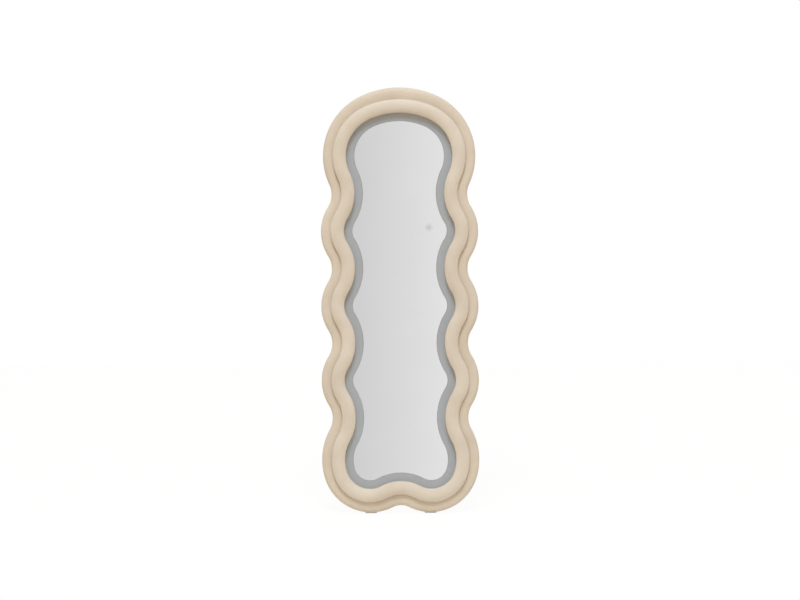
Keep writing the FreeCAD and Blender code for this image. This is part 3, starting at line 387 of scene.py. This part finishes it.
def flannel(name, low, high):
    """Brushed pile: soft patches where the nap lies over, and a fuzzy grain."""
    material, nodes, links = new_material(name)
    shader = nodes["Principled BSDF"]
    nap = noise_node(material, 9, 3, 0.5)
    fibres = noise_node(material, 1400, 2, 0.7)
    tufts = noise_node(material, 420, 3, 0.65)
    base = ramp(material, nap, low, high)
    speck = ramp(material, fibres, srgb(236, 234, 230), WHITE, 0.25, 0.65)
    mix = nodes.new("ShaderNodeMix")
    mix.data_type = "RGBA"
    mix.blend_type = "MULTIPLY"
    mix.inputs["Factor"].default_value = 1
    links.new(base.outputs["Color"], mix.inputs["A"])
    links.new(speck.outputs["Color"], mix.inputs["B"])
    links.new(mix.outputs["Result"], shader.inputs["Base Color"])
    links.new(spread(material, tufts, 0.86, 1.0).outputs["Result"], shader.inputs["Roughness"])
    relief(material, tufts, 0.6 * MM, 0.35)
    shader.inputs["Specular IOR Level"].default_value = 0.15
    shader.inputs["Sheen Weight"].default_value = 0.12
    shader.inputs["Sheen Roughness"].default_value = 0.45
    shader.inputs["Sheen Tint"].default_value = srgb(255, 246, 232)
    return material


def mirror_silver():
    """Silvered glass with the faintest unevenness of polish."""
    material, nodes, links = new_material("mirror_silver")
    shader = nodes["Principled BSDF"]
    haze = noise_node(material, 7, 4, 0.6)
    tone = ramp(material, haze, srgb(242, 242, 242), srgb(244, 244, 244))
    links.new(tone.outputs["Color"], shader.inputs["Base Color"])
    links.new(spread(material, haze, 0.012, 0.022).outputs["Result"], shader.inputs["Roughness"])
    shader.inputs["Metallic"].default_value = 1
    return material


def touch_print():
    """A soft round mark that fades out to clear glass."""
    material, nodes, links = new_material("touch_print")
    shader = nodes["Principled BSDF"]
    speck = noise_node(material, 900, 2)
    tone = ramp(material, speck, srgb(168, 169, 168), srgb(180, 181, 180))
    links.new(tone.outputs["Color"], shader.inputs["Base Color"])
    shader.inputs["Roughness"].default_value = 0.5
    place = nodes.new("ShaderNodeTexCoord")
    length = nodes.new("ShaderNodeVectorMath")
    length.operation = "LENGTH"
    fade = nodes.new("ShaderNodeMapRange")
    fade.interpolation_type = "SMOOTHSTEP"
    fade.inputs["From Min"].default_value = SPOT_CORE
    fade.inputs["From Max"].default_value = SPOT_FADE
    fade.inputs["To Min"].default_value = SPOT_ALPHA
    fade.inputs["To Max"].default_value = 0
    links.new(place.outputs["Object"], length.inputs[0])
    links.new(length.outputs["Value"], fade.inputs["Value"])
    links.new(fade.outputs["Result"], shader.inputs["Alpha"])
    return material


# Both tiers are one fabric; the lower tier's copy is a touch darker and warmer, painted shade for
# the upper tier's shadow on it
FLANNEL_LOWER = flannel("flannel_lower", srgb(208, 192, 170), srgb(217, 202, 182))
FLANNEL_UPPER = flannel("flannel_upper", srgb(209, 194, 174), srgb(219, 205, 186))

# Each slot's darker and lighter tone, range of roughness, scales of its patches
# and its grain, depth of the grain in millimetres, metal or not, and stretch.
FINISHES = {
    "frosted_acrylic": ((160, 162, 161), (165, 167, 166), (0.5, 0.6), 6, 900, 0.2, 0, EVEN),
    "back_board": ((142, 112, 80), (166, 134, 98), (0.7, 0.85), 30, 700, 0.3, 0, (1, 1, 0.35)),
    "core_wood": ((186, 152, 108), (206, 174, 130), (0.6, 0.75), 40, 500, 0.3, 0, (1, 1, 0.1)),
    "tape": ((225, 222, 212), (236, 233, 226), (0.7, 0.8), 60, 900, 0.2, 0, EVEN),
    "strip_board": ((222, 219, 205), (232, 230, 220), (0.4, 0.5), 90, 900, 0.1, 0, EVEN),
    "light_chip": ((232, 214, 120), (240, 226, 150), (0.3, 0.4), 300, 1500, 0.1, 0, EVEN),
    "black_plastic": ((29, 29, 30), (38, 38, 39), (0.45, 0.6), 40, 1600, 0.2, 0, EVEN),
    "sensor": ((176, 112, 64), (194, 128, 76), (0.3, 0.42), 120, 900, 0.1, 1, EVEN),
    "socket_metal": ((176, 176, 174), (196, 196, 194), (0.22, 0.32), 200, 900, 0.1, 1, EVEN),
    "lead_jacket": ((34, 34, 35), (44, 44, 45), (0.4, 0.5), 60, 900, 0.1, 0, EVEN),
    "zinc_steel": ((168, 171, 172), (196, 198, 198), (0.3, 0.45), 160, 800, 0.1, 1, EVEN),
    "black_steel": ((30, 30, 31), (40, 40, 41), (0.42, 0.55), 50, 1200, 0.3, 0, EVEN),
    "fastener": ((170, 170, 166), (200, 199, 194), (0.25, 0.38), 300, 1500, 0.1, 1, EVEN),
    "rubber": ((32, 32, 32), (42, 42, 41), (0.75, 0.9), 60, 900, 0.4, 0, EVEN),
    "clear_rubber": ((236, 236, 232), (244, 244, 240), (0.35, 0.5), 60, 900, 0.2, 0, EVEN),
    "stand_paint": ((30, 30, 31), (38, 38, 39), (0.4, 0.52), 30, 1100, 0.4, 0, EVEN),
}
MATERIALS = {slot: finish(slot, *look) for slot, look in FINISHES.items()}
MATERIALS["mirror"] = mirror_silver()


def node_slots():
    """The record's material slot of each solid."""
    return {part["node"]: part["material_slot"] for part in frame["record"]["subparts"]}


def dress_nodes():
    """Gives each solid its look; the two paddings are replaced and need none."""
    for node, slot in node_slots().items():
        if slot in MATERIALS:
            mesh = frame["nodes"][node].data
            mesh.materials.clear()
            mesh.materials.append(MATERIALS[slot])


# Padded tiers: foam under a bonded flannel face, the upper one lying on the
# lower. Each starts as a swept form and is then puffed up as cloth.

def lower_level(inset):
    """Level of the lower tier's face, past its crest."""
    return LOWER_TOP - LOWER_CROWN + math.sqrt(LOWER_CROWN ** 2 - (inset - LOWER_ROUND) ** 2)


def lower_section():
    """The section and the numbers of its points that may puff up."""
    wall_top = LOWER_TOP - LOWER_ROUND
    end = LOWER_TIER + TUCK_UNDER
    heel = 5 * MM
    back = 2 * MM
    turn_in = 26 * MM
    wrap = 4 * MM
    steps = 8
    held = line((turn_in, back), (heel, back), 4)
    held += arc((heel, back + heel), heel, -90, -180, 5)
    free = line((0, back + heel), (0, wall_top), 3)[1:]
    free += arc((LOWER_ROUND, wall_top), LOWER_ROUND, 180, 90, 9)
    for i in range(1, steps):
        inset = LOWER_ROUND + (LOWER_TIER - LOWER_ROUND) * i / steps
        free.append((inset, lower_level(inset)))
    rest = []
    for i in range(4):
        inset = LOWER_TIER + TUCK_UNDER * i / 4
        rest.append((inset, lower_level(inset)))
    rest += line((end, lower_level(end)), (end, CORE_TOP), 3)
    rest += line((end, CORE_TOP), (wrap, CORE_TOP), 5)
    rest += line((wrap, CORE_TOP), (wrap, BOARD), 2)
    rest += line((wrap, BOARD), (turn_in, BOARD), 3)
    rest.append((turn_in, BOARD))
    return held + free + rest, range(len(held), len(held) + len(free))


def upper_section():
    """The section and the numbers of its points that may puff up."""
    edge = 4 * MM
    foot = lower_level(LOWER_TIER - SEAM_PLAY) + SEAM_GAP
    lip = GLASS_TOP + SEAM_GAP
    middle = UPPER_TIER / 2
    crown = (middle ** 2 + UPPER_RISE ** 2) / (2 * UPPER_RISE)
    centre = UPPER_WALL + UPPER_RISE - crown
    # a small round between wall and crown, touching both
    lean = math.degrees(math.acos((middle - edge) / (crown - edge)))
    edge_level = centre + (crown - edge) * math.sin(math.radians(lean))
    held = [(0, foot)]
    free = line((0, foot), (0, edge_level), 3)[1:]
    free += arc((edge, edge_level), edge, 180, 180 - lean, 5)
    free += arc((middle, centre), crown, 180 - lean, lean, 18)[1:]
    free += arc((UPPER_TIER - edge, edge_level), edge, lean, 0, 5)[1:]
    rest = line((UPPER_TIER, edge_level), (UPPER_TIER, lip), 5)[1:]
    rest += line((UPPER_TIER, lip), (UPPER_CORE_IN, lip), 3)
    rest += line((UPPER_CORE_IN, lip), (UPPER_CORE_IN, UPPER_CORE_TOP), 3)
    rest += line((UPPER_CORE_IN, UPPER_CORE_TOP), (UPPER_CORE_OUT, UPPER_CORE_TOP), 4)
    rest += line((UPPER_CORE_OUT, UPPER_CORE_TOP), (UPPER_CORE_OUT, foot), 3)
    rest += line((UPPER_CORE_OUT, foot), (0, foot), 3)
    return held + free + rest, range(len(held), len(held) + len(free))


def puff(tier, held):
    """A short cloth run under pressure, held close to the drawn form, applied."""
    pins = tier.vertex_groups.new(name="held")
    pins.add(held, 1, "REPLACE")
    cloth = tier.modifiers.new("cloth", "CLOTH")
    cloth.settings.quality = 5
    cloth.settings.mass = 0.3
    cloth.settings.vertex_group_mass = "held"
    cloth.settings.use_pressure = True
    cloth.settings.uniform_pressure_force = 4
    cloth.settings.effector_weights.gravity = 0
    cloth.point_cache.frame_start = 1
    cloth.point_cache.frame_end = PUFF_FRAMES
    scene = bpy.context.scene
    for i in range(1, PUFF_FRAMES + 1):
        scene.frame_set(i)
    graph = bpy.context.evaluated_depsgraph_get()
    moved = [vertex.co.copy() for vertex in tier.evaluated_get(graph).data.vertices]
    tier.modifiers.remove(cloth)
    tier.vertex_groups.remove(pins)
    scene.frame_set(1)
    for vertex, there in zip(tier.data.vertices, moved):
        step = there - vertex.co
        if step.length > PUFF:
            step = step.normalized() * PUFF
        vertex.co = vertex.co + step
    tier.data.update()


def padded_tier(name, shape, profile, material, node):
    """One tier in place of its solid."""
    section, loose = profile
    tier = mesh_object(name, swept(line_path(shape), section, loose), material, sharp=60)
    count = len(section)
    held = [i for i in range(len(tier.data.vertices)) if i % count not in loose]
    puff(tier, held)
    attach(tier, "panel")
    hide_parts(node)


# Touch spot on the mirror's face.

def touch_spot():
    """A shallow dome of rings, just clear of the glass."""
    bm = bmesh.new()
    rings = 6
    spokes = 48
    centre = bm.verts.new((0, 0, SPOT_DOME))
    previous = None
    for i in range(1, rings + 1):
        radius = SPOT_RADIUS * i / rings
        lift = SPOT_DOME * (1 - (i / rings) ** 2)
        ring = []
        for j in range(spokes):
            angle = 2 * math.pi * j / spokes
            ring.append(bm.verts.new((radius * math.cos(angle), radius * math.sin(angle), lift)))
        for j in range(spokes):
            k = (j + 1) % spokes
            if previous is None:
                bm.faces.new((centre, ring[j], ring[k]))
            else:
                bm.faces.new((previous[j], ring[j], ring[k], previous[k]))
        previous = ring
    spot = mesh_object("touch_spot", bm, touch_print())
    place = Matrix.Translation((TOUCH_X, -GLASS_TOP - SPOT_LIFT, TOUCH_Z))
    spot.matrix_world = PANEL @ place @ FACE_FRONT
    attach(spot, "panel")


# Wood screws on the back: pan heads with a cross recess.

def screw_mesh():
    """One screw head on its seat, along +Y."""
    steps = 6
    spokes = 24
    rim = 0.35
    dome = 0.65
    profile = []
    for i in range(1, steps + 1):
        angle = math.radians(90 * i / steps)
        height = SCREW_RISE * (rim + dome * math.cos(angle))
        profile.append((SCREW_HEAD * math.sin(angle), height))
    profile += [(SCREW_HEAD, 0), (SCREW_SHANK, 0), (SCREW_SHANK, -SCREW_STUB)]
    bm = bmesh.new()
    rings = []
    for radius, height in profile:
        ring = []
        for j in range(spokes):
            angle = 2 * math.pi * j / spokes
            ring.append(bm.verts.new((radius * math.cos(angle), height, radius * math.sin(angle))))
        rings.append(ring)
    top = bm.verts.new((0, SCREW_RISE, 0))
    for j in range(spokes):
        k = (j + 1) % spokes
        bm.faces.new((top, rings[0][j], rings[0][k]))
        for here, there in zip(rings, rings[1:]):
            bm.faces.new((here[j], there[j], there[k], here[k]))
    bm.faces.new(rings[-1])
    bmesh.ops.recalc_face_normals(bm, faces=bm.faces)
    return bm


def cross_cutter():
    """Two crossed bars, half sunk into the head's top."""
    bm = bmesh.new()
    top = Matrix.Translation((0, SCREW_RISE, 0))
    for x, z in ((RECESS_WIDTH, RECESS_LENGTH), (RECESS_LENGTH, RECESS_WIDTH)):
        bar = Matrix.Diagonal((x, 2 * RECESS_DEPTH, z, 1))
        bmesh.ops.create_cube(bm, size=1, matrix=top @ bar)
    return bm


def recessed_screw():
    """The head with the cross cut out, as one mesh to be repeated."""
    head = mesh_object("screw_head", screw_mesh(), MATERIALS["fastener"])
    cutter = mesh_object("screw_cutter", cross_cutter(), MATERIALS["fastener"], smooth=False)
    cut = head.modifiers.new("cross", "BOOLEAN")
    cut.object = cutter
    cut.operation = "DIFFERENCE"
    cut.use_self = True
    graph = bpy.context.evaluated_depsgraph_get()
    mesh = bpy.data.meshes.new_from_object(head.evaluated_get(graph))
    bpy.data.objects.remove(head)
    bpy.data.objects.remove(cutter)
    return mesh


def screw_group(name, mesh, places, seat):
    """Heads at (across, height) places on one seat, each turned a little further."""
    bm = bmesh.new()
    for i, (x, z) in enumerate(places):
        one = mesh.copy()
        turn = Matrix.Rotation(SCREW_TURN * i, 4, "Y")
        one.transform(PANEL @ Matrix.Translation((x, seat, z)) @ turn)
        bm.from_mesh(one)
        bpy.data.meshes.remove(one)
    made = mesh_object(name, bm, MATERIALS["fastener"], sharp=35)
    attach(made, "panel")


def clamp_places():
    """Even places along the outline moved inwards, the first a quarter step from the top."""
    points = [p + n * CLAMP_INSET for p, n in line_path(OUTLINE)]
    lengths = [0]
    for here, there in zip(points, points[1:] + points[:1]):
        lengths.append(lengths[-1] + (there - here).length)
    places = []
    for i in range(CLAMP_COUNT):
        goal = lengths[-1] * (i + 0.25) / CLAMP_COUNT
        at = max(j for j, length in enumerate(lengths[:-1]) if length <= goal)
        places.append((points[at].x, points[at].y))
    return places


def screws():
    """All the heads on the back, one group for each kind of seat."""
    mesh = recessed_screw()
    across = BRACKET_HALF - SCREW_MARGIN
    hinge_places = []
    hanger_places = []
    inlet_places = []
    for side in (-1, 1):
        for end in (-1, 1):
            x = side * LEG_X + end * across
            hinge_places.append((x, HINGE_Z + BRACKET_ABOVE - SCREW_MARGIN))
            hinge_places.append((x, HINGE_Z - BRACKET_BELOW + SCREW_MARGIN))
            reach = end * (HANGER_HALF - SCREW_MARGIN)
            hanger_places.append((side * HANGER_X, HANGER_Z + reach))
        inlet_places.append((side * (INLET_HALF - SCREW_MARGIN), INLET_Z))
    screw_group("clamp_screws", mesh, clamp_places(), 0)
    screw_group("hinge_screws", mesh, hinge_places, BRACKET_PLATE)
    screw_group("hanger_screws", mesh, hanger_places, HANGER_PLATE)
    screw_group("inlet_screws", mesh, inlet_places, INLET_FLANGE)
    bpy.data.meshes.remove(mesh)


# Stage, light and camera.

def white_floor():
    """A pale floor, seen mostly as plain white but still lighting the part from below."""
    material, nodes, links = new_material("white_floor")
    shader = nodes["Principled BSDF"]
    grain = noise_node(material, 3, 2)
    tone = ramp(material, grain, srgb(247, 241, 231), srgb(250, 244, 235))
    links.new(tone.outputs["Color"], shader.inputs["Base Color"])
    shader.inputs["Roughness"].default_value = 0.9
    white = nodes.new("ShaderNodeEmission")
    path = nodes.new("ShaderNodeLightPath")
    share = nodes.new("ShaderNodeMath")
    share.operation = "MULTIPLY"
    share.inputs[1].default_value = FLOOR_WHITE
    mix = nodes.new("ShaderNodeMixShader")
    links.new(path.outputs["Is Camera Ray"], share.inputs[0])
    links.new(share.outputs["Value"], mix.inputs["Fac"])
    links.new(shader.outputs["BSDF"], mix.inputs[1])
    links.new(white.outputs["Emission"], mix.inputs[2])
    links.new(mix.outputs["Shader"], nodes["Material Output"].inputs["Surface"])
    return material


def floor():
    bm = bmesh.new()
    front = [(-FLOOR_HALF, FLOOR_FRONT, 0), (FLOOR_HALF, FLOOR_FRONT, 0)]
    back = [(FLOOR_HALF, FLOOR_BACK, 0), (-FLOOR_HALF, FLOOR_BACK, 0)]
    bm.faces.new([bm.verts.new(corner) for corner in front + back])
    made = mesh_object("floor", bm, white_floor(), smooth=False)


def world():
    made = bpy.data.worlds.new("studio")
    made.use_nodes = True
    bpy.context.scene.world = made
    nodes, links = made.node_tree.nodes, made.node_tree.links
    path = nodes.new("ShaderNodeLightPath")
    white = nodes.new("ShaderNodeBackground")
    white.inputs["Color"].default_value = WHITE
    white.inputs["Strength"].default_value = 1
    place = nodes.new("ShaderNodeTexCoord")
    parts = nodes.new("ShaderNodeSeparateXYZ")
    links.new(place.outputs["Generated"], parts.inputs["Vector"])
    # soft light all round, warm from below and neutral from above
    below = nodes["Background"]
    below.inputs["Color"].default_value = WARM
    below.inputs["Strength"].default_value = SOFT_LIGHT
    above = nodes.new("ShaderNodeBackground")
    above.inputs["Color"].default_value = NEUTRAL
    above.inputs["Strength"].default_value = SOFT_LIGHT
    upward = nodes.new("ShaderNodeMapRange")
    upward.inputs["From Min"].default_value = -1
    light = nodes.new("ShaderNodeMixShader")
    links.new(parts.outputs["Z"], upward.inputs["Value"])
    links.new(upward.outputs["Result"], light.inputs["Fac"])
    links.new(below.outputs["Background"], light.inputs[1])
    links.new(above.outputs["Background"], light.inputs[2])
    # a room a little brighter to the right, as the mirror shows it
    across = nodes.new("ShaderNodeMapRange")
    across.inputs["From Min"].default_value = -ROOM_EDGE
    across.inputs["From Max"].default_value = ROOM_EDGE
    across.inputs["To Min"].default_value = ROOM_LEFT
    across.inputs["To Max"].default_value = ROOM_RIGHT
    room = nodes.new("ShaderNodeBackground")
    room.inputs["Color"].default_value = WHITE
    links.new(parts.outputs["X"], across.inputs["Value"])
    links.new(across.outputs["Result"], room.inputs["Strength"])
    glossy = nodes.new("ShaderNodeMixShader")
    shown = nodes.new("ShaderNodeMixShader")
    links.new(path.outputs["Is Glossy Ray"], glossy.inputs["Fac"])
    links.new(light.outputs["Shader"], glossy.inputs[1])
    links.new(room.outputs["Background"], glossy.inputs[2])
    links.new(path.outputs["Is Camera Ray"], shown.inputs["Fac"])
    links.new(glossy.outputs["Shader"], shown.inputs[1])
    links.new(white.outputs["Background"], shown.inputs[2])
    links.new(shown.outputs["Shader"], nodes["World Output"].inputs["Surface"])


def key_lamp():
    data = bpy.data.lights.new("key", "AREA")
    data.color = KEY_COLOUR
    data.shape = "RECTANGLE"
    data.size, data.size_y = KEY_SIZE
    data.energy = KEY_POWER
    made = bpy.data.objects.new("key", data)
    bpy.context.scene.collection.objects.link(made)
    made.location = KEY_PLACE
    ray = Vector(KEY_TARGET) - Vector(KEY_PLACE)
    made.rotation_euler = ray.to_track_quat("-Z", "Y").to_euler()
    made.visible_camera = False
    made.visible_glossy = False


def camera():
    data = bpy.data.cameras.new("camera")
    data.sensor_width = SENSOR
    data.lens = SENSOR * CAMERA_DISTANCE / (FRAME_WIDTH * PIXEL)
    made = bpy.data.objects.new("camera", data)
    bpy.context.scene.collection.objects.link(made)
    place = Matrix.Translation((AIM_RIGHT, -CAMERA_LEVEL - CAMERA_DISTANCE, HEIGHT / 2 - AIM_DOWN))
    made.matrix_world = PANEL @ place @ FACE_FRONT @ Matrix.Rotation(CAMERA_ROLL, 4, "Z")
    bpy.context.scene.camera = made


dress_nodes()
padded_tier("lower_tier", OUTLINE, lower_section(), FLANNEL_LOWER, "lower_padding")
padded_tier("upper_tier", SEAM_LINE, upper_section(), FLANNEL_UPPER, "upper_padding")
touch_spot()
screws()
floor()
world()
key_lamp()
camera()
bpy.context.scene.view_settings.view_transform = "Standard"
